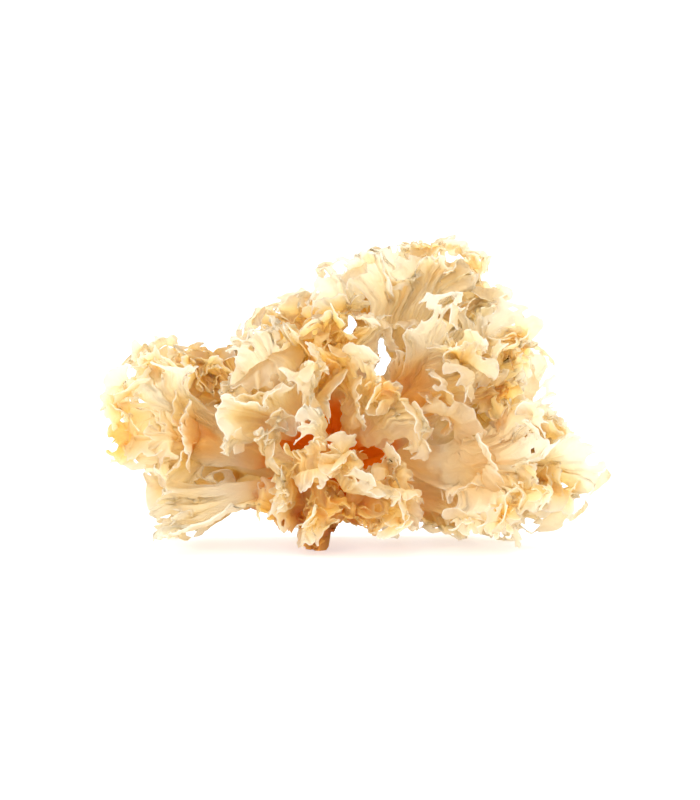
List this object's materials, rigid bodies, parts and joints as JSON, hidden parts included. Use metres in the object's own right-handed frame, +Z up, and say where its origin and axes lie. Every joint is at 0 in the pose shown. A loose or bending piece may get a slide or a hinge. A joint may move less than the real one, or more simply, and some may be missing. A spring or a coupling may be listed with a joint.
{
  "type": "dried snow fungus",
  "caption": "Dried snow fungus head: a tuft of thin, ruffled cream fronds that fork from one small amber base and rest on its cut foot and on frond tips",
  "frame": {"origin": "on the surface that the growth stands on, under the middle of its outer size", "axes": "+X runs along its length, to the picture's right; +Y runs away from the picture's viewer; +Z is up"},
  "size_m": [0.1104, 0.078, 0.0682],
  "materials": {
    "frond": "satin",
    "base": "matte"
  },
  "bodies": {
    "root": {"base": "base", "left_foot": "frond", "left_wing": "frond", "left_back_wing": "frond", "left_crest": "frond", "top_left": "frond", "top_sheet": "frond", "peak": "frond", "right_shoulder": "frond", "right_crest": "frond", "right_wing": "frond", "right_tip": "frond", "right_front": "frond", "right_skirt": "frond", "front_skirt": "frond", "front_fan": "frond", "centre_ruffle": "frond", "front_curl": "frond", "front_foot": "frond", "back_left": "frond", "back_crown": "frond", "back_top": "frond", "back_right": "frond", "back_middle": "frond", "back_left_skirt": "frond", "back_right_skirt": "frond", "left_shoulder": "frond", "top_back": "frond", "left_front": "frond", "front_left_frill": "frond", "front_frill_left": "frond", "front_frill_right": "frond", "front_crest": "frond", "top_front": "frond", "back_left_crest": "frond", "back_right_crest": "frond", "back_left_low": "frond", "back_foot": "frond", "back_right_low": "frond"}
  },
  "joints": []
}
